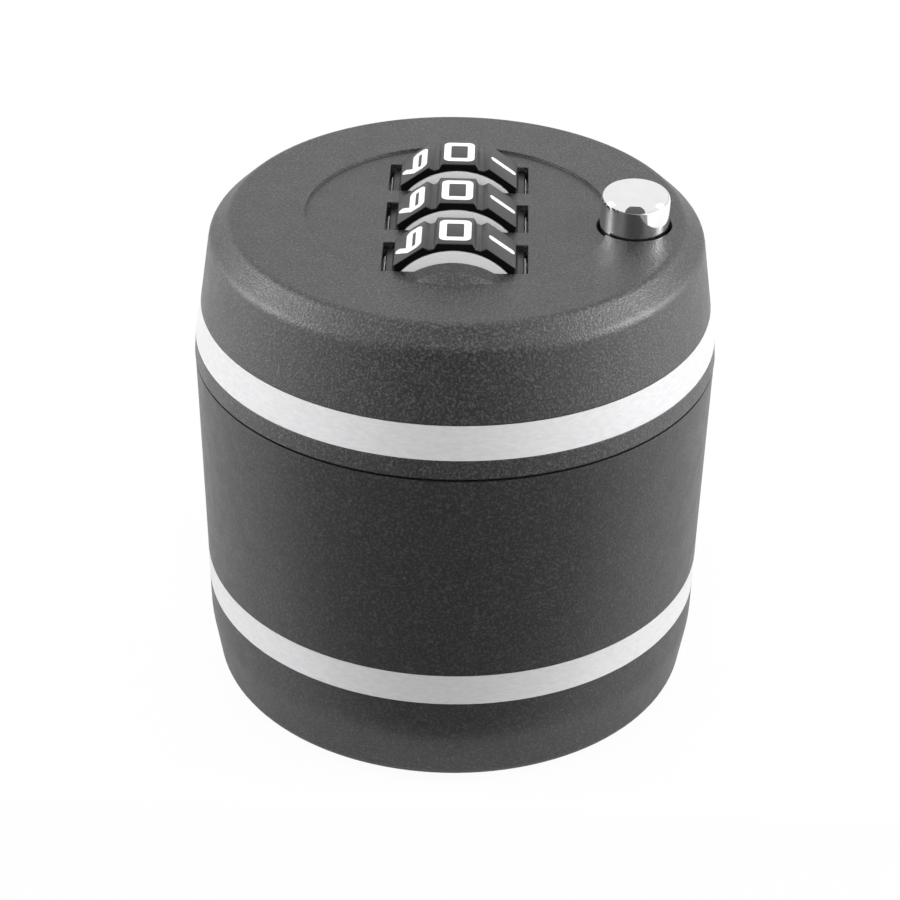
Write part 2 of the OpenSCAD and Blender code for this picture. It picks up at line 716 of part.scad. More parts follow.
// Rivet that holds the leaf pawl on its bracket
module pawl_rivet() {
    color(brass) at_angle(pawl_angle) translate([pawl_in + pawl_w / 2, rivet_y, bracket_z + pawl_t]) {
        cylinder(r = rivet_head_r, h = rivet_head_t, $fn = 32);
        translate([0, 0, -2]) cylinder(r = rivet_r, h = 2 + eps, $fn = 24);
    }
}

// Tube round the bottle's neck, with its top flange, jaw windows, pin boss and pawl bracket
module neck_core() {
    color([0.22, 0.22, 0.24]) difference() {
        union() {
            translate([0, 0, core_z]) cylinder(r = core_r, h = flange_z - core_z + eps);
            translate([0, 0, flange_z]) cylinder(r = chassis_r, h = flange_t);
            ring(core_r + 1, neck_r, guide_z + guide_t + seat_gap, guide_z + guide_t + 1.2);
            for (i = [0:2]) at_angle(60 + 120 * i) translate([neck_r + 0.2, -key_w / 2, guide_z - 3])
                cube([core_wall + key_h - 0.2, key_w, guide_t + 4]);
            translate([button_x, button_y, flange_z - pin_boss_h])
                cylinder(r = pin_boss_r, h = pin_boss_h + 1, $fn = 48);
            pawl_bracket();
        }
        translate([0, 0, core_z - 1]) cylinder(r = neck_r, h = cushion_z - core_z + 1 + eps);
        translate([0, 0, cushion_z]) cylinder(r = cushion_r + seat_gap, h = cushion_t);
        translate([0, 0, core_z - 1]) cylinder(r = thread_r, h = thread_h + 1);
        for (i = [0:2]) at_angle(120 * i) translate([neck_r - 2, -jaw_w / 2 - window_gap, jaw_z - window_gap])
            cube([core_wall + 3, jaw_w + 2 * window_gap, jaw_h + 2 * window_gap]);
        translate([button_x, button_y, flange_z - 3]) cylinder(r = pin_r + run_gap, h = 8, $fn = 48);
        translate([button_x, button_y, floor_z - 0.8]) cylinder(r = pin_head_r + 0.2, h = 2, $fn = 48);
        for (a = chassis_screw_angles) at_angle(a) translate([screw_ring_r, 0, flange_z - 1])
            cylinder(r = screw_head_r + 0.5, h = 5, $fn = 32);
        for (a = core_screw_angles) at_angle(a) translate([screw_ring_r, 0, flange_z - 1])
            cylinder(r = screw_hole_r, h = 5, $fn = 24);
    }
}

// Gusseted bracket on the tube's side that carries the leaf pawl
module pawl_bracket() {
    side = pawl_out - 0.5;
    inside = (neck_r + core_r) / 2;
    at_angle(pawl_angle) difference() {
        translate([0, pawl_bend_y - 0.2, bracket_z]) rotate([90, 0, 0])
            linear_extrude(pawl_bend_y - pawl_root_y - 0.4)
                polygon([[inside, 0], [side, 0], [side, -bracket_t],
                    [core_r, -bracket_h], [inside, -bracket_h]]);
        translate([pawl_in + pawl_w / 2, rivet_y, bracket_z - 2 + pawl_t])
            cylinder(r = rivet_r, h = 3, $fn = 24);
    }
}

// Soft disc that the bottle's lip stops against, snapped by its sloped edge into a groove at the bore's end
module neck_cushion() {
    color(rubber) rotate_extrude() polygon([[cushion_hole_r, cushion_z], [cushion_face_r, cushion_z],
        [cushion_r, cushion_z + cushion_slope], [cushion_r, flange_z], [cushion_hole_r, flange_z]]);
}

// Keyed ring with the three channels that the jaws slide in
module jaw_guide() {
    channel = jaw_w / 2 + window_gap;
    color([0.42, 0.43, 0.45]) difference() {
        union() {
            ring(guide_r, core_r + seat_gap, guide_z, guide_z + guide_t);
            intersection() {
                ring(guide_r, core_r + seat_gap, cam_z + cam_t + slide_gap, guide_z + eps);
                for (i = [0:2]) at_angle(120 * i) for (s = [-1, 1])
                    translate([core_r - 1, s * (channel + rib_t / 2) - rib_t / 2, jaw_z])
                        cube([guide_r, rib_t, jaw_h + 1]);
            }
        }
        for (i = [0:2]) at_angle(60 + 120 * i) translate([core_r - 1, -key_w / 2 - 0.1, guide_z - 1])
            cube([key_h + 1.1, key_w + 0.2, guide_t + 2]);
    }
}

// Ring screwed into the mouth of the tube, which keeps the sleeve on
module mouth_ring() {
    color(steel) difference() {
        union() {
            rotate_extrude() polygon([[neck_r, mouth_z + mouth_bevel], [neck_r + mouth_bevel, mouth_z],
                [mouth_flange_r - 0.4, mouth_z], [mouth_flange_r, mouth_z + 0.4], [mouth_flange_r, core_z],
                [neck_r, core_z]]);
            ring(thread_r - seat_gap, neck_r, core_z - eps, core_z + thread_h - 0.2);
        }
        for (a = [0:60:300]) at_angle(a) translate([mouth_flange_r - 2 * spanner_r, 0, mouth_z - eps])
            cylinder(r = spanner_r, h = spanner_depth, $fn = 24);
    }
}

// A pan head screw that points up from its head's underside
module screw(length) {
    translate([0, 0, -screw_head_t]) cylinder(r = screw_head_r, h = screw_head_t, $fn = 32);
    translate([0, 0, -eps]) cylinder(r = screw_r, h = length, $fn = 24);
}

// Screws that hold the chassis up in the head
module chassis_screws() {
    color(steel) for (a = chassis_screw_angles) at_angle(a) translate([screw_ring_r, 0, floor_z])
        screw(chassis_screw_l);
}

// Screws that hold the neck tube up under the chassis
module core_screws() {
    color(steel) for (a = core_screw_angles) at_angle(a) translate([screw_ring_r, 0, flange_z])
        screw(core_screw_l);
}

// Turning outer shell
module sleeve_shell() {
    color(black) difference() {
        rotate_extrude() polygon(concat(
            [[mouth_flange_r + slide_gap, 0]], sleeve_outline,
            [[bore_high_r, sleeve_h], [bore_high_r, bore_step_z], [bore_low_r, bore_step_z],
                [bore_low_r, cam_z], [ledge_r, cam_z], [ledge_r, ledge_z],
                [mouth_flange_r + slide_gap, ledge_z]]));
        band_groove(low_band_z, low_band_r, low_top_r);
        for (i = [0:2]) at_angle(60 + 120 * i) {
            lug_groove(bore_low_r, cam_z - lug_gap, bore_step_z + 1);
            lug_groove(bore_high_r, bore_step_z - lug_gap, sleeve_h + 1);
        }
    }
}

// Groove in a bore of the sleeve for the lugs of what turns with it
module lug_groove(bore, z0, z1) {
    translate([bore - 0.3, -lug_w / 2 - lug_gap, z0])
        cube([0.3 + lug_rise + lug_gap, lug_w + 2 * lug_gap, z1 - z0]);
}

// Lug on a ring of radius r that keys it to the sleeve
module lug(r, bore, z0, h) {
    translate([r - 1, -lug_w / 2, z0]) cube([bore + lug_rise - r + 1, lug_w, h]);
}

// Bright band round the sleeve
module lower_band() {
    color(band_silver) band(low_band_z, low_band_r, low_top_r);
}

// Centre line of a cam slot: the radius falls evenly as the slot turns back
function cam_point(a, off) =
    let (r = cam_rest_r - jaw_travel * a / jaw_turn + off) r * [cos(-a), sin(-a)];

// Plate with three spiral slots that draw the jaw pins in as the sleeve turns
module cam_plate() {
    steps = 26;
    color(steel) difference() {
        union() {
            ring(cam_out_r, cam_in_r, cam_z, cam_z + cam_t);
            for (i = [0:2]) at_angle(60 + 120 * i) lug(cam_out_r, bore_low_r, cam_z, cam_t);
        }
        for (i = [0:2]) at_angle(120 * i) translate([0, 0, cam_z - 1]) {
            linear_extrude(cam_t + 2) polygon(concat(
                [for (j = [0:steps]) cam_point(jaw_turn * j / steps, cam_slot_r)],
                [for (j = [steps:-1:0]) cam_point(jaw_turn * j / steps, -cam_slot_r)]));
            for (a = [0, jaw_turn]) translate(cam_point(a, 0))
                cylinder(r = cam_slot_r, h = cam_t + 2, $fn = 48);
        }
    }
}

// Crown ratchet: each gap rises along a ramp and ends in an upright face, square to the pawl
module ratchet_ring() {
    color(steel) difference() {
        union() {
            ring(ratchet_out_r, ratchet_in_r, bore_step_z, ratchet_top);
            for (i = [0:2]) at_angle(60 + 120 * i) lug(ratchet_out_r, bore_high_r, bore_step_z, ratchet_t);
        }
        for (i = [0:ratchet_teeth - 1]) at_angle(pawl_angle + i * tooth_step)
            translate([ratchet_in_r - 1, pawl_tip_y + pawl_gap, bore_step_z]) rotate([90, 0, 90])
                linear_extrude(tooth_out_r - ratchet_in_r + 1)
                    polygon([[-tooth_run, 0], [0, tooth_h], [0, -1], [-tooth_run, -1]]);
    }
}

// Jaw i, with its cam pin and the bed for its pad
module jaw(i) {
    color(steel) at_angle(120 * (i - 1)) {
        difference() {
            translate([jaw_face_r - 2, -jaw_w / 2, jaw_z]) cube([jaw_out_r - jaw_face_r + 2, jaw_w, jaw_h]);
            translate([jaw_travel, 0, jaw_z - 1]) cylinder(r = grip_r + pad_t, h = jaw_h + 2);
            translate([jaw_out_r - jaw_pocket, jaw_side - jaw_w / 2, jaw_z + jaw_floor])
                cube([jaw_pocket + 1, jaw_w - 2 * jaw_side, jaw_h - jaw_floor - jaw_roof]);
        }
        translate([cam_rest_r, 0, cam_z + 0.3]) cylinder(r = cam_pin_r, h = jaw_z - cam_z, $fn = 48);
    }
}

// Ribbed rubber pad of jaw i
module jaw_pad(i) {
    rib_pitch = (jaw_h - 1) / pad_ribs;
    color(rubber) at_angle(120 * (i - 1)) difference() {
        intersection() {
            translate([pad_face_r - 2, -jaw_w / 2, jaw_z]) cube([8, jaw_w, jaw_h]);
            translate([jaw_travel, 0, jaw_z - 1]) cylinder(r = grip_r + pad_t, h = jaw_h + 2);
        }
        translate([jaw_travel, 0, jaw_z - 1]) cylinder(r = grip_r, h = jaw_h + 2);
        for (j = [1:pad_ribs]) translate([jaw_travel, 0, jaw_z + (j - 0.5) * rib_pitch])
            cylinder(r = grip_r + pad_rib_depth, h = pad_rib_gap);
    }
}

head_shell();
upper_band();
lock_chassis();
dial_axle();
dial_ring(1);  // dial_ring_1
dial_ring(2);  // dial_ring_2
dial_ring(3);  // dial_ring_3
dial_hub(1);  // dial_hub_1
dial_hub(2);  // dial_hub_2
dial_hub(3);  // dial_hub_3
detent_spring();
code_comb();
comb_spring();
button_cap();
button_plunger();
button_spring();
release_pin();
leaf_pawl();
pawl_rivet();
neck_core();
neck_cushion();
jaw_guide();
mouth_ring();
chassis_screws();
core_screws();
sleeve_shell();
lower_band();
cam_plate();
ratchet_ring();
jaw(1);  // jaw_1
jaw(2);  // jaw_2
jaw(3);  // jaw_3
jaw_pad(1);  // jaw_pad_1
jaw_pad(2);  // jaw_pad_2
jaw_pad(3);  // jaw_pad_3
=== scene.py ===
"""Looks of a combination lock for the neck of a bottle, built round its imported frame.

The cover, the sleeve, the bands and the inner works keep the frame's own meshes and get their finishes
here. The number rings, their numerals, the button's cap and spring and the rubber pieces are modelled anew
in their places.
Lengths are in metres. The origin is the centre of the foot, Z is up and the front faces -Y.
"""
import logging
import math
from contextlib import contextmanager
from dataclasses import dataclass, field
from enum import Enum
from typing import Callable, Iterator, Sequence

import bmesh
import bpy
from mathutils import Matrix, Vector


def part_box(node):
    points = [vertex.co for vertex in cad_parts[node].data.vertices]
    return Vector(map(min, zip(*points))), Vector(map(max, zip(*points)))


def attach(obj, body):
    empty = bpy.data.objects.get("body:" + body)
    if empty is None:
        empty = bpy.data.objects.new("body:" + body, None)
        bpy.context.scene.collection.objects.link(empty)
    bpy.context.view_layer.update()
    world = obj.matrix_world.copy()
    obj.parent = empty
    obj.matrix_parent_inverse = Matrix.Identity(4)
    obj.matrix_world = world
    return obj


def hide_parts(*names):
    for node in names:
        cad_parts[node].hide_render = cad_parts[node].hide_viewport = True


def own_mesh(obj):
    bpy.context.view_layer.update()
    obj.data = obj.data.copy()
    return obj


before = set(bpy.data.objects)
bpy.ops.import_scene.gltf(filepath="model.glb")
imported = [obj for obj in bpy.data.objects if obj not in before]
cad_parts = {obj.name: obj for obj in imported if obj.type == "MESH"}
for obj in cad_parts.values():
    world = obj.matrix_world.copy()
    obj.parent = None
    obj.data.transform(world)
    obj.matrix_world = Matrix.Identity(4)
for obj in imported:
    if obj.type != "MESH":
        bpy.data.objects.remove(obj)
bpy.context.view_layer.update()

MM = 0.001
WHITE = (1.0, 1.0, 1.0, 1.0)
# A direction counts as along an axis, or a face as facing it, from this component on.
ALONG = 0.9
# Points of a frame mesh that are nearer to each other than this are one.
WELD = 0.002 * MM
# Faces of a frame mesh that meet at less than this are one flat face.
FLAT = math.radians(2)
LOG = logging.getLogger("bottle_lock")

Colour = tuple[float, float, float]
Place = tuple[float, float, float]
Pair = tuple[float, float]
Test = Callable[[Vector, Vector], bool]


def rgba(colour: Colour) -> tuple[float, float, float, float]:
    """Gives a colour its full alpha."""
    return (*colour, 1.0)


def dimmed(colour: Colour, share: float) -> Colour:
    """Gives a darker tone of a colour.

    Args:
        colour: The colour.
        share: How much of it is left.

    Returns:
        The darker colour.
    """
    return tuple(share * part for part in colour)


class ShaderTree:
    """A material's node tree with short calls for adding and joining nodes."""

    def __init__(self, name: str) -> None:
        """Starts an empty material.

        Args:
            name: The material's name.
        """
        self.material = bpy.data.materials.new(name)
        self.material.use_nodes = True
        self.nodes = self.material.node_tree.nodes
        self.links = self.material.node_tree.links
        self.nodes.clear()
        self.output = self.nodes.new("ShaderNodeOutputMaterial")
        self.coords = self.nodes.new("ShaderNodeTexCoord").outputs["Object"]

    def add(self, kind: str, **inputs: object) -> bpy.types.Node:
        """Adds a node and sets or links its inputs.

        Args:
            kind: The node's type, without the ShaderNode prefix.
            **inputs: Values or sockets by input name, with underscores for spaces.

        Returns:
            The new node.
        """
        node = self.nodes.new("ShaderNode" + kind)
        for key, value in inputs.items():
            socket = node.inputs[key.replace("_", " ")]
            if isinstance(value, bpy.types.NodeSocket):
                self.links.new(value, socket)
            else:
                socket.default_value = value
        return node

    def noise(self, size: float, stretch: Place = (1.0, 1.0, 1.0),
              detail: float = 2.0) -> bpy.types.NodeSocket:
        """Adds solid noise on the piece's own coordinates.

        Args:
            size: Rough size of one grain in metres.
            stretch: How much finer the grain is along X, Y and Z.
            detail: Octaves of the noise.

        Returns:
            The noise's value, from 0 to 1.
        """
        coords = self.add("Mapping", Vector=self.coords, Scale=stretch).outputs[0]
        return self.add("TexNoise", Vector=coords, Scale=1 / size, Detail=detail).outputs["Fac"]

    def ramp(self, value: bpy.types.NodeSocket, low: float, high: float, start: float = 0.35,
             end: float = 0.65) -> bpy.types.NodeSocket:
        """Maps a noise value to a range.

        Args:
            value: The noise.
            low: What start becomes.
            high: What end becomes.
            start: Lowest noise value used.
            end: Highest noise value used.

        Returns:
            The mapped value.
        """
        node = self.add("MapRange", Value=value, From_Min=start, From_Max=end, To_Min=low, To_Max=high)
        return node.outputs[0]

    def blend(self, value: bpy.types.NodeSocket, low: Colour, high: Colour) -> bpy.types.NodeSocket:
        """Blends two colours by a value.

        Args:
            value: Share of the second colour.
            low: First colour.
            high: Second colour.

        Returns:
            The blended colour.
        """
        node = self.nodes.new("ShaderNodeMix")
        node.data_type = "RGBA"
        colours = [socket for socket in node.inputs if socket.type == "RGBA"]
        colours[0].default_value = rgba(low)
        colours[1].default_value = rgba(high)
        self.links.new(value, node.inputs[0])
        return [socket for socket in node.outputs if socket.type == "RGBA"][0]

    def relief(self, height: bpy.types.NodeSocket, depth: float, strength: float,
               edge: float = 0.0) -> bpy.types.NodeSocket:
        """Turns a height into a shaded relief, over edges that are softly rounded.

        Args:
            height: Height from 0 to 1.
            depth: What a height of 1 is worth, in metres.
            strength: How much of the relief shows.
            edge: Radius of the rounding that sharp edges show, in metres, or 0.

        Returns:
            The normal for the shader.
        """
        bump = self.add("Bump", Height=height, Distance=depth, Strength=strength)
        if edge > 0:
            rounding = self.add("Bevel", Radius=edge)
            rounding.samples = 6
            self.links.new(rounding.outputs[0], bump.inputs["Normal"])
        return bump.outputs[0]

    def surface(self, **inputs: object) -> bpy.types.Material:
        """Adds the shader, joins it to the output and gives back the material.

        Args:
            **inputs: Values or sockets of the Principled shader by input name.

        Returns:
            The finished material.
        """
        shader = self.add("BsdfPrincipled", **inputs)
        self.links.new(shader.outputs[0], self.output.inputs["Surface"])
        return self.material


@dataclass(frozen=True)
class MouldedPlastic:
    """A moulded plastic with the fine grain of its tool and slight unevenness.

    Attributes:
        name: The material's name.
        dark: Colour between the specks.
        light: Colour of the specks.
        grain: Rough size of a speck.
        grain_depth: Height of the grain.
        grain_share: How much of the grain's relief shows.
        matt: Lowest and highest roughness.
        edge: Rounding that sharp edges show.
        specular: Strength of the plain reflection.
        speck: Noise values between which dark turns light.
        cloud: Rough size of the unevenness.
    """

    name: str
    dark: Colour
    light: Colour
    grain: float = 0.22 * MM
    grain_depth: float = 0.02 * MM
    grain_share: float = 0.5
    matt: Pair = (0.46, 0.56)
    edge: float = 0.12 * MM
    specular: float = 0.5
    speck: Pair = (0.46, 0.72)
    cloud: float = 2.4 * MM

    def make(self) -> bpy.types.Material:
        """Builds the material.

        Returns:
            The finished material.
        """
        tree = ShaderTree(self.name)
        grain = tree.noise(self.grain, detail=3.0)
        cloud = tree.noise(self.cloud, detail=4.0)
        speck = tree.blend(tree.ramp(grain, 0.0, 1.0, *self.speck), self.dark, self.light)
        return tree.surface(
            Base_Color=speck,
            Roughness=tree.ramp(cloud, *self.matt),
            Specular_IOR_Level=self.specular,
            Normal=tree.relief(grain, self.grain_depth, self.grain_share, self.edge),
        )


@dataclass(frozen=True)
class TurnedMetal:
    """A metal with fine lines that run round its axis, as turning or brushing leaves them.

    Attributes:
        name: The material's name.
        dark: Colour between the lines.
        light: Colour of the lines.
        line: Rough width of a line.
        line_depth: Height of a line.
        matt: Lowest and highest roughness.
        stretch: How much finer the lines are along X, Y and Z.
        metallic: Share of metal, less than 1 for a lacquered band.
        cloud: Rough size of the unevenness.
        edge: Rounding that sharp edges show.
    """

    name: str
    dark: Colour
    light: Colour
    line: float = 0.05 * MM
    line_depth: float = 0.004 * MM
    matt: Pair = (0.28, 0.36)
    stretch: Place = (0.02, 0.02, 1.0)
    metallic: float = 1.0
    cloud: float = 7 * MM
    edge: float = 0.06 * MM

    def make(self) -> bpy.types.Material:
        """Builds the material.

        Returns:
            The finished material.
        """
        tree = ShaderTree(self.name)
        lines = tree.noise(self.line, self.stretch, detail=3.0)
        cloud = tree.noise(self.cloud)
        return tree.surface(
            Base_Color=tree.blend(tree.ramp(lines, 0.0, 1.0), self.dark, self.light),
            Metallic=self.metallic,
            Roughness=tree.ramp(cloud, *self.matt),
            Normal=tree.relief(lines, self.line_depth, 0.6, self.edge),
        )


@dataclass(frozen=True)
class PolishedPlate:
    """Polished plating with the faint haze that fingers leave."""

    name: str
    colour: Colour
    polish: Pair = (0.05, 0.11)

    def make(self) -> bpy.types.Material:
        """Builds the material.

        Returns:
            The finished material.
        """
        tree = ShaderTree(self.name)
        haze = tree.noise(1.6 * MM, detail=4.0)
        ripple = tree.noise(2.5 * MM, detail=1.0)
        return tree.surface(
            Base_Color=tree.blend(tree.ramp(haze, 0.0, 1.0), self.colour, dimmed(self.colour, 0.96)),
            Metallic=1.0,
            Roughness=tree.ramp(haze, *self.polish),
            Normal=tree.relief(ripple, 0.001 * MM, 0.1),
        )


@dataclass(frozen=True)
class MouldedRubber:
    """A dull rubber with a dusty surface and a fine cast texture."""

    name: str
    dark: Colour
    light: Colour

    def make(self) -> bpy.types.Material:
        """Builds the material.

        Returns:
            The finished material.
        """
        tree = ShaderTree(self.name)
        dust = tree.noise(0.9 * MM, detail=4.0)
        grain = tree.noise(0.12 * MM)
        return tree.surface(
            Base_Color=tree.blend(tree.ramp(dust, 0.0, 1.0), self.dark, self.light),
            Roughness=tree.ramp(dust, 0.72, 0.86),
            Sheen_Weight=0.08,
            Normal=tree.relief(grain, 0.02 * MM, 0.5, 0.08 * MM),
        )


@dataclass(frozen=True)
class NumeralPaint:
    """The white infill of the numerals, with its slightly uneven coat."""

    name: str
    colour: Colour

    def make(self) -> bpy.types.Material:
        """Builds the material.

        Returns:
            The finished material.
        """
        tree = ShaderTree(self.name)
        coat = tree.noise(0.35 * MM, detail=3.0)
        return tree.surface(
            Base_Color=tree.blend(tree.ramp(coat, 0.0, 1.0), self.colour, dimmed(self.colour, 0.95)),
            Roughness=tree.ramp(coat, 0.38, 0.5),
            Normal=tree.relief(coat, 0.008 * MM, 0.3),
        )


class Finish(Enum):
    """The finishes of the lock, by the piece or stock that they belong to."""

    COVER = MouldedPlastic("cover_plastic", (0.005, 0.005, 0.0052), (0.07, 0.07, 0.072),
                           grain=0.26 * MM, grain_depth=0.06 * MM, grain_share=1.0, matt=(0.42, 0.48),
                           edge=0.25 * MM, specular=1.0)
    SLEEVE = MouldedPlastic("sleeve_plastic", (0.008, 0.008, 0.0084), (0.048, 0.048, 0.049),
                            grain=0.28 * MM, grain_depth=0.04 * MM, grain_share=0.8, matt=(0.42, 0.48),
                            specular=0.7)
    WORKS = MouldedPlastic("works_plastic", (0.02, 0.02, 0.022), (0.032, 0.032, 0.034), grain=0.4 * MM)
    RING = MouldedPlastic("ring_plastic", (0.008, 0.008, 0.0085), (0.018, 0.018, 0.019),
                          grain=0.14 * MM, grain_depth=0.008 * MM, matt=(0.36, 0.44), edge=0.0,
                          specular=0.8)
    # Painted shade: a near-black, barely glossy copy of the ring plastic for the dial rings' flat sides, so
    # that they render dark.
    SHADED_FLANK = MouldedPlastic("ring_flank_painted_shade", (0.002, 0.002, 0.002), (0.004, 0.004, 0.004),
                           grain=0.12 * MM, grain_depth=0.006 * MM, matt=(0.5, 0.6), edge=0.0,
                           specular=0.12)
    HUB = MouldedPlastic("hub_plastic", (0.84, 0.84, 0.85), (0.9, 0.9, 0.91),
                         grain=0.2 * MM, grain_depth=0.006 * MM, matt=(0.36, 0.46))
    ACETAL = MouldedPlastic("comb_acetal", (0.78, 0.77, 0.7), (0.84, 0.83, 0.77),
                            grain=0.3 * MM, grain_depth=0.006 * MM, matt=(0.3, 0.4))
    BAND = TurnedMetal("band_silver", (0.62, 0.62, 0.63), (0.68, 0.68, 0.69), line=0.3 * MM,
                       line_depth=0.003 * MM, matt=(0.36, 0.44), stretch=(0.3, 0.3, 1.0), metallic=0.2)
    STEEL = TurnedMetal("machined_steel", (0.42, 0.43, 0.45), (0.56, 0.57, 0.59), line=0.12 * MM)
    SPRING = TurnedMetal("spring_steel", (0.03, 0.03, 0.034), (0.055, 0.055, 0.06), matt=(0.5, 0.6))
    ZINC = TurnedMetal("cast_zinc", (0.44, 0.45, 0.46), (0.54, 0.55, 0.56), line=0.6 * MM,
                       matt=(0.42, 0.55), stretch=(1.0, 1.0, 1.0))
    BRASS = TurnedMetal("turned_brass", (0.68, 0.5, 0.24), (0.8, 0.62, 0.32), line=0.1 * MM)
    CHROME = PolishedPlate("cap_chrome", (0.86, 0.86, 0.87))
    RUBBER = MouldedRubber("grip_rubber", (0.03, 0.03, 0.03), (0.05, 0.05, 0.049))
    PAINT = NumeralPaint("numeral_white", (0.9, 0.9, 0.89))

    @property
    def material(self) -> bpy.types.Material:
        """The finish's material, built on first use."""
        made = bpy.data.materials.get(self.value.name)
        return made or self.value.make()

    def dress(self, obj: bpy.types.Object) -> None:
        """Puts the finish on every material slot of an object.

        Args:
            obj: The piece or CAD node.
        """
        obj.data.materials.clear()
        obj.data.materials.append(self.material)


def dress_node(name: str, finish: Finish) -> None:
    """Gives a CAD node its finish, through its own material slots.

    Args:
        name: The node's name.
        finish: The finish.
    """
    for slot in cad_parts[name].material_slots:
        slot.material = finish.material


def deselect() -> None:
    """Leaves nothing selected, so that an operator acts on what it is given."""
    for obj in list(bpy.context.selected_objects):
        obj.select_set(False)


def make_active(*objects: bpy.types.Object) -> None:
    """Selects objects and makes the first the active one.

    Args:
        *objects: What to select.
    """
    deselect()
    for obj in objects:
        obj.select_set(True)
    bpy.context.view_layer.objects.active = objects[0]


@contextmanager
def editing(obj: bpy.types.Object, mode: str = "FACE") -> Iterator[None]:
    """Holds an object in edit mode.

    Args:
        obj: The object to edit.
        mode: Kind of element that is selected.
    """
    make_active(obj)
    bpy.ops.object.mode_set(mode="EDIT")
    bpy.ops.mesh.select_mode(type=mode)
    try:
        yield
    finally:
        bpy.ops.object.mode_set(mode="OBJECT")


def pick_faces(obj: bpy.types.Object, test: Test) -> None:
    """Selects the faces that pass a test on their centre and normal, in edit mode.

    Args:
        obj: The edited object.
        test: Takes a face's centre and its normal.
    """
    bpy.ops.mesh.select_all(action="DESELECT")
    mesh = bmesh.from_edit_mesh(obj.data)
    for face in mesh.faces:
        face.select_set(test(face.calc_center_median(), face.normal))
    bmesh.update_edit_mesh(obj.data)


def pick_edges(obj: bpy.types.Object, test: Test) -> None:
    """Selects the edges that pass a test on their middle and direction, in edit mode.

    Args:
        obj: The edited object.
        test: Takes an edge's middle and its unit direction.
    """
    bpy.ops.mesh.select_all(action="DESELECT")
    mesh = bmesh.from_edit_mesh(obj.data)
    for edge in mesh.edges:
        a, b = edge.verts[0].co, edge.verts[1].co
        edge.select_set(test((a + b) / 2, (b - a).normalized()))
    bmesh.update_edit_mesh(obj.data)


def pick_points(obj: bpy.types.Object, test: Callable[[Vector], bool]) -> None:
    """Selects the vertices that pass a test on their place, in edit mode.

    Args:
        obj: The edited object.
        test: Takes a vertex's place.
    """
    bpy.ops.mesh.select_all(action="DESELECT")
    mesh = bmesh.from_edit_mesh(obj.data)
    for vert in mesh.verts:
        vert.select_set(test(vert.co))
    bmesh.update_edit_mesh(obj.data)


def settle(obj: bpy.types.Object, name: str) -> bpy.types.Object:
    """Names an object and moves its place into its mesh.

    Args:
        obj: The object.
        name: Its new name.

    Returns:
        The same object.
    """
    make_active(obj)
    bpy.ops.object.transform_apply(location=True, rotation=True, scale=True)
    obj.name = name
    obj.data.name = name
    return obj


def place(obj: bpy.types.Object, matrix: Matrix) -> bpy.types.Object:
    """Moves an object by a matrix and leaves its place in its mesh.

    Args:
        obj: The object.
        matrix: The move.

    Returns:
        The same object.
    """
    obj.matrix_world = matrix @ obj.matrix_world
    return settle(obj, obj.name)


def duplicate(obj: bpy.types.Object, name: str) -> bpy.types.Object:
    """Copies an object with a mesh of its own.

    Args:
        obj: What to copy.
        name: The copy's name.

    Returns:
        The copy.
    """
    make_active(obj)
    bpy.ops.object.duplicate(linked=False)
    copy = bpy.context.view_layer.objects.active
    copy.name = name
    copy.data.name = name
    return copy


def add_drum(name: str, radius: float, depth: float, sides: int = 96, along: str = "Z") -> bpy.types.Object:
    """Adds a cylinder at the origin.

    Args:
        name: The piece's name.
        radius: Its radius.
        depth: Its length.
        sides: Number of sides.
        along: Axis that it runs along, Y or Z.

    Returns:
        The cylinder.
    """
    deselect()
    turn = (math.pi / 2, 0, 0) if along == "Y" else (0, 0, 0)
    bpy.ops.mesh.primitive_cylinder_add(vertices=sides, radius=radius, depth=depth, rotation=turn)
    return settle(bpy.context.view_layer.objects.active, name)


def add_block(name: str, size: Sequence[float]) -> bpy.types.Object:
    """Adds a block with its centre at the origin.

    Args:
        name: The piece's name.
        size: Its lengths along X, Y and Z.

    Returns:
        The block.
    """
    deselect()
    bpy.ops.mesh.primitive_cube_add(size=1.0)
    block = bpy.context.view_layer.objects.active
    block.scale = size
    return settle(block, name)


def apply_modifier(obj: bpy.types.Object, kind: str, **settings: object) -> None:
    """Adds a modifier and applies it.

    Args:
        obj: The piece.
        kind: The modifier's type.
        **settings: Its properties.
    """
    make_active(obj)
    modifier = obj.modifiers.new(kind.title(), kind)
    for key, value in settings.items():
        setattr(modifier, key, value)
    bpy.ops.object.modifier_apply(modifier=modifier.name)


def combine(obj: bpy.types.Object, tool: bpy.types.Object, operation: str) -> None:
    """Joins or cuts an object with another, which is used up.

    Args:
        obj: The piece.
        tool: What is added or taken away.
        operation: UNION or DIFFERENCE.
    """
    apply_modifier(obj, "BOOLEAN", object=tool, operation=operation, solver="EXACT")
    bpy.data.objects.remove(tool)


def round_edges(obj: bpy.types.Object, width: float, segments: int = 3, angle: float = 25.0) -> None:
    """Rounds the sharp edges of a piece and smooths its shading.

    Args:
        obj: The piece.
        width: Width of the rounding.
        segments: Steps across it.
        angle: Edges sharper than this are rounded, in degrees.
    """
    apply_modifier(obj, "BEVEL", width=width, segments=segments, limit_method="ANGLE",
                   angle_limit=math.radians(angle), use_clamp_overlap=True, harden_normals=False)
    make_active(obj)
    bpy.ops.object.shade_smooth_by_angle(angle=math.radians(angle))


def merged_copy(node: str, name: str) -> bpy.types.Object:
    """Copies a CAD node with a mesh of its own, whose loose triangles are joined.

    Args:
        node: The node's name.
        name: The copy's name.

    Returns:
        The copy.
    """
    copy = duplicate(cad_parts[node], name)
    copy.parent = None
    with editing(copy, "VERT"):
        bpy.ops.mesh.select_all(action="SELECT")
        bpy.ops.mesh.remove_doubles(threshold=WELD)
        bpy.ops.mesh.dissolve_limited(angle_limit=FLAT)
    return copy


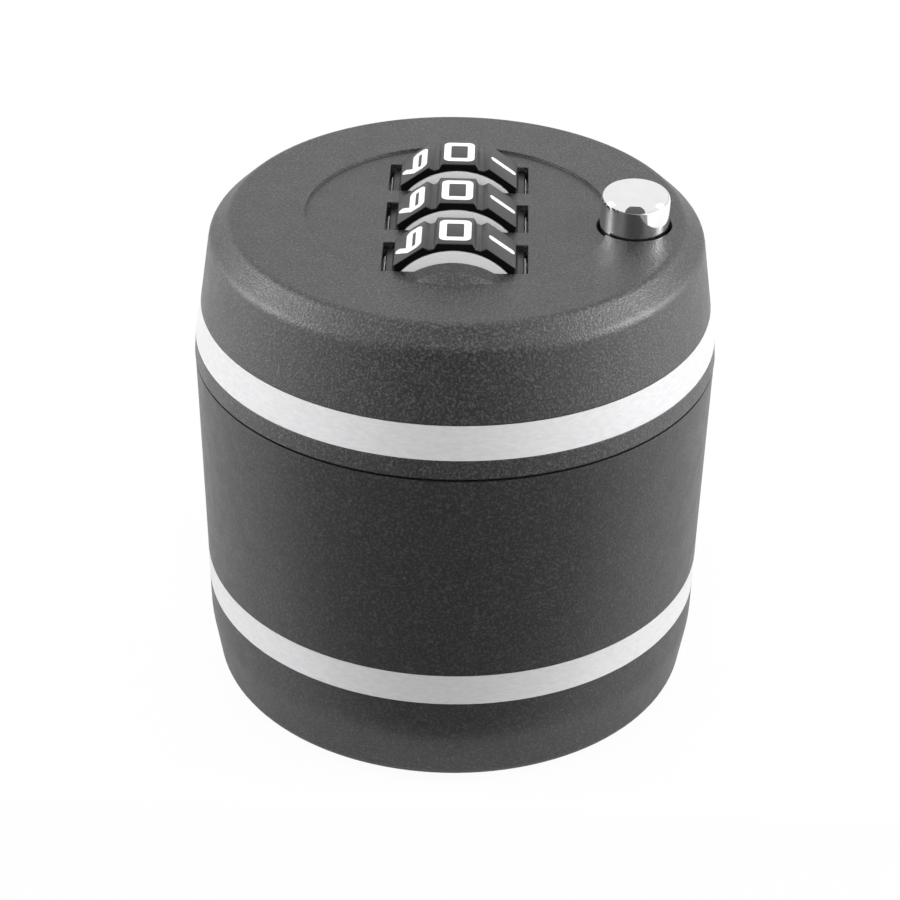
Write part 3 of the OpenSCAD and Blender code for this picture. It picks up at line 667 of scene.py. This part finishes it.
@dataclass
class Dials:
    """The three number rings with their raised numerals.

    Attributes:
        pads: Pads and numerals on a ring.
        flat_share: Share of a pad's angle that stays flat, the rest being groove.
        groove_root: Distance of a groove's bottom from the axle.
        groove_side: Half the width of a groove's bottom.
        bore: Radius that the hub fills.
        recess: Radius of the step in the ring's front.
        recess_depth: Depth of that step.
        edge: Rounding of the ring's edges.
        shaded_flank_facing: Least Y of the normal of a ring's side faces, which take the painted shade.
        numeral_width: Width of a numeral, along the axle.
        numeral_height: Height of a numeral, round the dial.
        stroke: Width of the numerals' strokes.
        waist: Height of the bar of a 6 above its middle, and of a 9 below it.
        outer_corner: Rounding outside a loop.
        inner_corner: Rounding inside a loop.
        corner_steps: Steps of the rounding of loops and strokes.
        proud: How far the numerals stand out of the pad.
        sunk: How far they reach into it.
        names: Names of the dials, rear one first.
    """

    pads: int = 10
    flat_share: float = 0.72
    groove_root: float = 8.02 * MM
    groove_side: float = 0.378 * MM
    bore: float = 6.75 * MM
    recess: float = 7.75 * MM
    recess_depth: float = 1.25 * MM
    edge: float = 0.11 * MM
    shaded_flank_facing: float = 0.97
    numeral_width: float = 4.75 * MM
    numeral_height: float = 3.5 * MM
    stroke: float = 0.8 * MM
    waist: float = -0.1 * MM
    outer_corner: float = 0.75 * MM
    inner_corner: float = 0.15 * MM
    corner_steps: int = 6
    proud: float = 0.045 * MM
    sunk: float = 0.25 * MM
    names: Sequence[str] = ("1", "2", "3")

    def __post_init__(self) -> None:
        """Reads the rings' places and size from the frame."""
        self.pad_angle = 360 / self.pads
        low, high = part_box("dial_ring_1")
        self.width = high.y - low.y
        self.apothem = (high.z - low.z) / 2
        self.axle = (high.z + low.z) / 2

    def centre(self, name: str) -> Vector:
        """The middle of one dial.

        Args:
            name: The dial's number.

        Returns:
            Its place.
        """
        low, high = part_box("dial_ring_" + name)
        return Vector((0, (low.y + high.y) / 2, self.axle))

    def ring(self) -> bpy.types.Object:
        """Models one ring at the origin: flat pads with grooves between them, a stepped bore, and painted
        shade on its flat sides.

        Returns:
            The ring.
        """
        half_pad = self.pad_angle / 2
        corner = self.apothem / math.cos(math.radians(half_pad))
        ring = add_drum("dial_ring", corner, self.width, sides=self.pads, along="Y")
        place(ring, Matrix.Rotation(math.radians(half_pad), 4, "Y"))
        half_side = self.apothem * math.tan(math.radians(half_pad))
        flat = self.apothem * math.tan(math.radians(half_pad * self.flat_share))
        with editing(ring, "EDGE"):
            pick_edges(ring, lambda middle, way: abs(way.y) > ALONG)
            bpy.ops.mesh.bevel(offset=half_side - flat, segments=2, profile=0.0, affect="EDGES")
        with editing(ring, "VERT"):
            pick_points(ring, lambda point: math.hypot(point.x, point.z) < self.apothem)
            shrink = self.groove_root / self.picked_radius(ring)
            bpy.ops.transform.resize(value=(shrink, 1, shrink), center_override=(0, 0, 0))
        with editing(ring, "EDGE"):
            pick_edges(ring, lambda middle, way: abs(way.y) > ALONG and
                       math.hypot(middle.x, middle.z) < self.groove_root + 0.05 * MM)
            bpy.ops.mesh.bevel(offset=self.groove_side, segments=1, affect="EDGES")
        combine(ring, add_drum("ring_bore", self.bore, 2 * self.width, along="Y"), "DIFFERENCE")
        step = add_drum("ring_recess", self.recess, 2 * self.recess_depth, along="Y")
        place(step, Matrix.Translation((0, -self.width / 2, 0)))
        combine(ring, step, "DIFFERENCE")
        round_edges(ring, self.edge, segments=3, angle=24)
        Finish.RING.dress(ring)
        # The flat sides take the painted-shade copy of the ring plastic, darker and duller than the pads.
        ring.data.materials.append(Finish.SHADED_FLANK.material)
        with editing(ring, "FACE"):
            pick_faces(ring, lambda centre, normal: abs(normal.y) > self.shaded_flank_facing)
            ring.active_material_index = 1
            bpy.ops.object.material_slot_assign()
        return ring

    @staticmethod
    def picked_radius(ring: bpy.types.Object) -> float:
        """Distance of the selected points from the axle.

        Args:
            ring: The ring in edit mode, with points selected.

        Returns:
            Their mean distance.
        """
        points = [v.co for v in bmesh.from_edit_mesh(ring.data).verts if v.select]
        return sum(math.hypot(p.x, p.z) for p in points) / len(points)

    def bar(self, start: Pair, end: Pair) -> bpy.types.Object:
        """Models a straight stroke with round ends.

        Args:
            start: Where the pen is set down, in the numeral's own right and up.
            end: Where it is lifted.

        Returns:
            The stroke.
        """
        a, b = Vector(start), Vector(end)
        length = (b - a).length
        bar = add_block("stroke", (length + self.stroke, self.stroke, self.proud + self.sunk))
        with editing(bar, "EDGE"):
            pick_edges(bar, lambda middle, way: abs(way.z) > ALONG)
            bpy.ops.mesh.bevel(offset=self.stroke * 0.499, segments=self.corner_steps, profile=0.5,
                               affect="EDGES")
        way = (b - a).normalized()
        middle = (a + b) / 2
        turn = Matrix.Rotation(math.atan2(way.y, way.x), 4, "Z")
        return place(bar, Matrix.Translation((middle.x, middle.y, 0)) @ turn)

    def loop(self, low: Pair, high: Pair) -> bpy.types.Object:
        """Models a closed stroke round a rounded oblong.

        Args:
            low: The pen's lower left corner.
            high: Its upper right corner.

        Returns:
            The stroke.
        """
        size = Vector(high) - Vector(low)
        middle = (Vector(high) + Vector(low)) / 2
        shapes = []
        for grow, corner in ((self.stroke, self.outer_corner), (-self.stroke, self.inner_corner)):
            tall = (self.proud + self.sunk) * (1 if grow > 0 else 2)
            block = add_block("stroke", (size.x + grow, size.y + grow, tall))
            with editing(block, "EDGE"):
                pick_edges(block, lambda centre, way: abs(way.z) > ALONG)
                bpy.ops.mesh.bevel(offset=corner, segments=self.corner_steps, profile=0.5,
                                   affect="EDGES")
            shapes.append(block)
        combine(shapes[0], shapes[1], "DIFFERENCE")
        return place(shapes[0], Matrix.Translation((middle.x, middle.y, 0)))

    def numeral(self, digit: int) -> bpy.types.Object:
        """Models one numeral flat at the origin, from bars and loops.

        Args:
            digit: The number that it shows.

        Returns:
            The numeral.
        """
        u = (self.numeral_width - self.stroke) / 2
        v = (self.numeral_height - self.stroke) / 2
        waist = self.waist
        bars = {
            1: [((0, -v), (0, v))],
            2: [((-u, v), (u, v)), ((u, v), (u, 0)), ((u, 0), (-u, 0)),
                ((-u, 0), (-u, -v)), ((-u, -v), (u, -v))],
            3: [((-u, v), (u, v)), ((u, v), (u, -v)), ((u, -v), (-u, -v)), ((-u / 2, 0), (u, 0))],
            4: [((-u, v), (-u, -v / 3)), ((-u, -v / 3), (u, -v / 3)), ((u / 2, v), (u / 2, -v))],
            5: [((u, v), (-u, v)), ((-u, v), (-u, 0)), ((-u, 0), (u, 0)),
                ((u, 0), (u, -v)), ((u, -v), (-u, -v))],
            6: [((-u, waist), (v - u, v))],
            7: [((-u, v), (u, v)), ((u, v), (-u / 4, -v))],
            8: [((-u, 0), (u, 0))],
            9: [((u, -waist), (u - v, -v))],
        }
        loops = {
            0: ((-u, -v), (u, v)),
            6: ((-u, -v), (u, waist)),
            8: ((-u, -v), (u, v)),
            9: ((-u, -waist), (u, v)),
        }
        strokes = [self.bar(*ends) for ends in bars.get(digit, [])]
        if digit in loops:
            strokes.insert(0, self.loop(*loops[digit]))
        for extra in strokes[1:]:
            combine(strokes[0], extra, "UNION")
        shape = strokes[0]
        shape.name = f"numeral_{digit}"
        return place(shape, Matrix.Translation((0, 0, (self.proud - self.sunk) / 2)))

    def seat(self, digit: int, dial: str) -> Matrix:
        """Where a numeral sits on its pad: its up runs round the dial and its right points to the front.

        Args:
            digit: The number.
            dial: The dial's number.

        Returns:
            The matrix from the flat numeral to the pad.
        """
        angle = math.radians(90 - self.pad_angle * digit)
        out = Vector((math.cos(angle), 0, math.sin(angle)))
        up = Vector((math.sin(angle), 0, -math.cos(angle)))
        right = up.cross(out)
        origin = self.centre(dial) + out * self.apothem
        return Matrix.Translation(origin) @ Matrix((right, up, out)).transposed().to_4x4()

    def build(self) -> None:
        """Makes the rings and numerals and sets them on the dials' bodies."""
        model = self.ring()
        shapes = [self.numeral(digit) for digit in range(self.pads)]
        for dial in self.names:
            ring = duplicate(model, "number_ring_" + dial)
            place(ring, Matrix.Translation(self.centre(dial)))
            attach(ring, "dial_" + dial)
            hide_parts("dial_ring_" + dial)
            marks = []
            for digit, shape in enumerate(shapes):
                copy = duplicate(shape, f"mark_{dial}_{digit}")
                marks.append(place(copy, self.seat(digit, dial)))
            make_active(*marks)
            bpy.ops.object.join()
            joined = bpy.context.view_layer.objects.active
            joined.name = "numerals_" + dial
            joined.data.name = joined.name
            bpy.ops.object.shade_smooth_by_angle(angle=math.radians(30))
            Finish.PAINT.dress(joined)
            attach(joined, "dial_" + dial)
            LOG.info("dial %s: ring and %d numerals", dial, len(shapes))
            dress_node("dial_hub_" + dial, Finish.HUB)
        for spare in [model, *shapes]:
            bpy.data.objects.remove(spare)


@dataclass
class ReleaseButton:
    """The release button's chromed cap and its return spring.

    Attributes:
        rounding: Rounding round the cap's top.
        rounding_steps: Steps of that rounding.
        rest_ring: Width of the flat ring between the rounding and the cap's top.
        wall: The cap's wall.
        sides: Sides of the cap.
        travel: How far the button goes down; not used.
    """

    rounding: float = 1.15 * MM
    rounding_steps: int = 10
    rest_ring: float = 0.12 * MM
    wall: float = 0.8 * MM
    sides: int = 128
    travel: float = 2.2 * MM

    def spring(self) -> None:
        """Makes the return spring."""
        spring = merged_copy("button_spring", "return_spring")
        make_active(spring)
        bpy.ops.object.shade_smooth_by_angle(angle=math.radians(70))
        Finish.SPRING.dress(spring)
        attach(spring, "head")
        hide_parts("button_spring")
        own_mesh(spring)

    def build(self) -> None:
        """Models the cap and the spring and sets them on their bodies."""
        low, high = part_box("button_cap")
        radius = (high.x - low.x) / 2
        height = high.z - low.z
        cap = add_drum("chrome_cap", radius, height, sides=self.sides)
        with editing(cap, "FACE"):
            pick_faces(cap, lambda centre, normal: normal.z > ALONG)
            bpy.ops.mesh.bevel(offset=self.rounding, segments=self.rounding_steps, profile=0.5,
                               affect="EDGES")
        with editing(cap, "FACE"):
            pick_faces(cap, lambda centre, normal: normal.z > 0.999 and centre.z > 0)
            bpy.ops.mesh.inset(thickness=self.rest_ring, depth=0)
        with editing(cap, "FACE"):
            pick_faces(cap, lambda centre, normal: normal.z < -ALONG)
            bpy.ops.mesh.inset(thickness=self.wall, depth=0)
            bpy.ops.mesh.extrude_region_move(TRANSFORM_OT_translate={"value": (0, 0, height - self.wall)})
        place(cap, Matrix.Translation((low + high) / 2))
        bpy.ops.object.shade_smooth_by_angle(angle=math.radians(30))
        Finish.CHROME.dress(cap)
        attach(cap, "button")
        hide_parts("button_cap")
        dress_node("button_plunger", Finish.RING)
        dress_node("release_pin", Finish.STEEL)
        self.spring()
        LOG.info("button: chromed cap and return spring")


@dataclass
class NeckGrip:
    """The rubber pieces that the bottle's neck touches, and the metal that moves them.

    Attributes:
        softness: Rounding of the rubber's edges.
        cushion_hole: Radius of the hole in the cushion.
        cushion_face: Radius of the cushion's face, inside its sloped edge.
        cushion_slope: Height of the sloped edge.
        cushion_crown: How far the face bulges towards the bottle.
        crown_steps: Width of each ring of the bulge in radii, and its share of the crown.
    """

    softness: float = 0.18 * MM
    cushion_hole: float = 3 * MM
    cushion_face: float = 16.2 * MM
    cushion_slope: float = 0.5 * MM
    cushion_crown: float = 0.3 * MM
    crown_steps: Sequence[Pair] = ((0.1, 0.55), (0.15, 0.3), (0.2, 0.15))

    def cushion(self) -> None:
        """Models the soft disc at the end of the cavity, crowned towards the bottle."""
        low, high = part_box("neck_cushion")
        radius = (high.x - low.x) / 2
        depth = high.z - low.z
        disc = add_drum("stop_cushion", radius, depth, sides=96)
        with editing(disc, "FACE"):
            pick_faces(disc, lambda centre, normal: normal.z < -ALONG)
            bpy.ops.transform.translate(value=(0, 0, self.cushion_slope + self.cushion_crown))
            bpy.ops.mesh.extrude_region_move(TRANSFORM_OT_translate={"value": (0, 0, -self.cushion_slope)})
            share = self.cushion_face / radius
            bpy.ops.transform.resize(value=(share, share, 1), center_override=(0, 0, 0))
            for width, rise in self.crown_steps:
                bpy.ops.mesh.inset(thickness=radius * width, depth=self.cushion_crown * rise)
        place(disc, Matrix.Translation((0, 0, (low.z + high.z) / 2)))
        hole = add_drum("cushion_hole", self.cushion_hole, 4 * depth, sides=48)
        combine(disc, place(hole, Matrix.Translation((0, 0, low.z))), "DIFFERENCE")
        round_edges(disc, self.softness, segments=3, angle=40)
        Finish.RUBBER.dress(disc)
        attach(disc, "head")
        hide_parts("neck_cushion")
        LOG.info("neck cushion")

    def pads(self) -> None:
        """Rounds the ribs and edges of the three jaw pads, as rubber is moulded."""
        for number in ("1", "2", "3"):
            pad = merged_copy("jaw_pad_" + number, "grip_pad_" + number)
            round_edges(pad, self.softness, segments=3, angle=35)
            Finish.RUBBER.dress(pad)
            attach(pad, f"jaw_{number}_body")
            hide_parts("jaw_pad_" + number)
            dress_node("jaw_" + number, Finish.ZINC)
            LOG.info("jaw pad %s", number)

    def build(self) -> None:
        """Makes the rubber pieces and dresses the metal."""
        self.cushion()
        self.pads()
        for name in ("cam_plate", "ratchet_ring"):
            dress_node(name, Finish.STEEL)


@dataclass
class Casing:
    """The shells, the bands and the fixed works inside them."""

    finishes: dict[str, Finish] = field(default_factory=lambda: {
        "head_shell": Finish.COVER,
        "sleeve_shell": Finish.SLEEVE,
        "mouth_ring": Finish.SLEEVE,
        "upper_band": Finish.BAND,
        "lower_band": Finish.BAND,
        "lock_chassis": Finish.WORKS,
        "neck_core": Finish.WORKS,
        "jaw_guide": Finish.WORKS,
        "dial_axle": Finish.STEEL,
        "detent_spring": Finish.SPRING,
        "comb_spring": Finish.SPRING,
        "leaf_pawl": Finish.SPRING,
        "code_comb": Finish.ACETAL,
        "pawl_rivet": Finish.BRASS,
        "chassis_screws": Finish.STEEL,
        "core_screws": Finish.STEEL,
    })

    def build(self) -> None:
        """Dresses the nodes that keep the frame's meshes."""
        for name, finish in self.finishes.items():
            dress_node(name, finish)
            LOG.info("%s: %s", name, finish.value.name)


@dataclass(frozen=True)
class DarkCard:
    """A dark card that only reflections and soft light meet.

    Attributes:
        name: The card's name.
        size: Its width, and its depth or height.
        centre: Its place.
        tilt: Its turn about X, 0 where it lies flat.
        shade: Its grey.
    """

    name: str
    size: Pair
    centre: Place
    tilt: float
    shade: float

    def put(self) -> None:
        """Puts the card in its place."""
        deselect()
        bpy.ops.mesh.primitive_plane_add(size=1.0, rotation=(self.tilt, 0, 0))
        card = bpy.context.view_layer.objects.active
        card.scale = (*self.size, 1)
        card.location = self.centre
        settle(card, self.name)
        tree = ShaderTree(self.name + "_black")
        grey = rgba((self.shade, self.shade, self.shade))
        card.data.materials.append(tree.surface(Base_Color=grey, Roughness=0.9))
        card.visible_camera = False
        card.visible_shadow = False


@dataclass(frozen=True)
class SoftLamp:
    """A soft lamp that faces the object.

    Attributes:
        name: The lamp's name.
        place: Its place.
        size: Its width and height.
        power: Its power in watts.
        mirrored: Whether reflections show it.
    """

    name: str
    place: Place
    size: Pair
    power: float
    mirrored: bool = False

    def hang(self, aim_height: float) -> None:
        """Hangs the lamp in its place.

        Args:
            aim_height: Height of the point that it faces.
        """
        data = bpy.data.lights.new(self.name, "AREA")
        data.shape = "RECTANGLE"
        data.size, data.size_y = self.size
        data.energy = self.power
        lamp = bpy.data.objects.new(self.name, data)
        bpy.context.scene.collection.objects.link(lamp)
        lamp.location = self.place
        lamp.rotation_mode = "QUATERNION"
        aim = Vector((0, 0, aim_height)) - Vector(self.place)
        lamp.rotation_quaternion = aim.to_track_quat("-Z", "Y")
        lamp.visible_glossy = self.mirrored


@dataclass
class Studio:
    """White floor and surroundings, soft lamps and the camera.

    Attributes:
        focal_px: The camera's focal length in pixels of the photograph.
        image_px: Width of the photograph.
        centre_px: Where the line of sight meets the photograph.
        elevation: The camera's height above the horizon in degrees.
        azimuth: Its turn from the front in degrees.
        roll: Its tilt in degrees.
        distance: Its distance from the point that it faces.
        aim_height: Height of that point.
        sensor: Width of its sensor in millimetres.
        soft_light: Strength of the surroundings as a light.
        seen_light: Their strength to the camera and in reflections.
        floor_seen: Share of plain white in the floor that the camera sees.
        floor_mirrored: Share of it in the floor that reflections show.
        cards: The dark cards.
        lamps: The lamps.
    """

    focal_px: float = 2861.2
    image_px: float = 900.0
    centre_px: Pair = (453.4, 442.2)
    elevation: float = 31.46
    azimuth: float = 0.9
    roll: float = 0.96
    distance: float = 338.35 * MM
    aim_height: float = 28.71 * MM
    sensor: float = 36.0
    soft_light: float = 0.36
    seen_light: float = 1.0
    floor_seen: float = 0.95
    floor_mirrored: float = 0.24
    cards: Sequence[DarkCard] = (
        DarkCard("standing_card", (0.44, 1.3), (0.0, -0.36, 0.65), math.pi / 2, 0.08),
        DarkCard("lying_card", (0.22, 0.3), (0.0, -0.183, 1 * MM), 0.0, 0.2),
    )
    lamps: Sequence[SoftLamp] = (
        SoftLamp("lamp_back", (0.0, 0.75, 0.5), (0.9, 0.5), 2.2),
        SoftLamp("lamp_front", (0.0, -0.6, 0.45), (0.4, 0.3), 3.0),
        SoftLamp("lamp_top", (0.0, -0.1, 0.8), (0.5, 0.5), 2.0),
        SoftLamp("lamp_left", (-0.7, 0.05, 0.3), (0.25, 0.5), 3.4, mirrored=True),
        SoftLamp("lamp_right", (0.7, 0.0, 0.3), (0.25, 0.5), 4.4, mirrored=True),
    )

    def camera(self) -> None:
        """Stands the camera where the photograph was taken from."""
        data = bpy.data.cameras.new("camera")
        data.sensor_width = self.sensor
        data.lens = self.focal_px / self.image_px * self.sensor
        half = self.image_px / 2
        data.shift_x = (half - self.centre_px[0]) / self.image_px
        data.shift_y = (self.centre_px[1] - half) / self.image_px
        data.clip_start = 0.01
        camera = bpy.data.objects.new("camera", data)
        bpy.context.scene.collection.objects.link(camera)
        e, a = math.radians(self.elevation), math.radians(self.azimuth)
        back = Vector((math.sin(a) * math.cos(e), -math.cos(a) * math.cos(e), math.sin(e)))
        camera.location = Vector((0, 0, self.aim_height)) + back * self.distance
        turn = (-back).to_track_quat("-Z", "Y").to_matrix().to_4x4()
        spin = Matrix.Rotation(math.radians(self.roll), 4, "Z")
        camera.matrix_world = Matrix.Translation(camera.location) @ turn @ spin
        bpy.context.scene.camera = camera

    def world(self) -> None:
        """Makes the surroundings white to the camera and in reflections, and mild as a light."""
        world = bpy.data.worlds.new("surroundings")
        bpy.context.scene.world = world
        world.use_nodes = True
        nodes, links = world.node_tree.nodes, world.node_tree.links
        nodes.clear()
        path = nodes.new("ShaderNodeLightPath")
        seen = path.outputs["Is Camera Ray"]
        for ray in ("Is Glossy Ray", "Is Transmission Ray"):
            either = nodes.new("ShaderNodeMath")
            either.operation = "MAXIMUM"
            links.new(seen, either.inputs[0])
            links.new(path.outputs[ray], either.inputs[1])
            seen = either.outputs[0]
        level = nodes.new("ShaderNodeMapRange")
        level.inputs["To Min"].default_value = self.soft_light
        level.inputs["To Max"].default_value = self.seen_light
        links.new(seen, level.inputs["Value"])
        light = nodes.new("ShaderNodeBackground")
        light.inputs["Color"].default_value = WHITE
        links.new(level.outputs[0], light.inputs["Strength"])
        output = nodes.new("ShaderNodeOutputWorld")
        links.new(light.outputs[0], output.inputs["Surface"])

    @staticmethod
    def seen_share(tree: ShaderTree, camera: float, mirror: float) -> bpy.types.NodeSocket:
        """Share of plain white in what the camera, reflections and clear pieces see.

        Args:
            tree: The material's tree.
            camera: Share that the camera sees.
            mirror: Share that reflections and clear pieces see.

        Returns:
            The share, 0 for light that spreads.
        """
        path = tree.add("LightPath")
        total = None
        weights = {"Is Camera Ray": camera, "Is Glossy Ray": mirror, "Is Transmission Ray": mirror}
        for ray, weight in weights.items():
            part = tree.nodes.new("ShaderNodeMath")
            part.operation = "MULTIPLY_ADD"
            part.inputs[1].default_value = weight
            part.inputs[2].default_value = 0.0
            tree.links.new(path.outputs[ray], part.inputs[0])
            if total:
                tree.links.new(total, part.inputs[2])
            total = part.outputs[0]
        return total

    def floor(self) -> None:
        """Lays a white floor that keeps the object's shadow."""
        deselect()
        bpy.ops.mesh.primitive_plane_add(size=6.0, location=(0, 0, -0.02 * MM))
        floor = settle(bpy.context.view_layer.objects.active, "floor")
        tree = ShaderTree("floor_white")
        dust = tree.noise(40 * MM)
        paint = tree.add("BsdfDiffuse", Color=tree.blend(dust, (0.8, 0.8, 0.8), (0.82, 0.82, 0.82)))
        glow = tree.add("Emission", Color=WHITE, Strength=1.0)
        share = self.seen_share(tree, camera=self.floor_seen, mirror=self.floor_mirrored)
        mix = tree.nodes.new("ShaderNodeMixShader")
        tree.links.new(share, mix.inputs[0])
        tree.links.new(paint.outputs[0], mix.inputs[1])
        tree.links.new(glow.outputs[0], mix.inputs[2])
        tree.links.new(mix.outputs[0], tree.output.inputs["Surface"])
        floor.data.materials.append(tree.material)

    def build(self) -> None:
        """Sets up the whole studio."""
        self.camera()
        self.world()
        self.floor()
        for card in self.cards:
            card.put()
        for lamp in self.lamps:
            lamp.hang(self.aim_height)
        bpy.context.scene.view_settings.view_transform = "Standard"
        LOG.info("studio")


def main() -> None:
    """Builds the lock's looks and the studio."""
    logging.basicConfig(level=logging.INFO, format="%(name)s: %(message)s")
    Studio().build()
    Casing().build()
    Dials().build()
    ReleaseButton().build()
    NeckGrip().build()


if __name__ == "__main__":
    main()
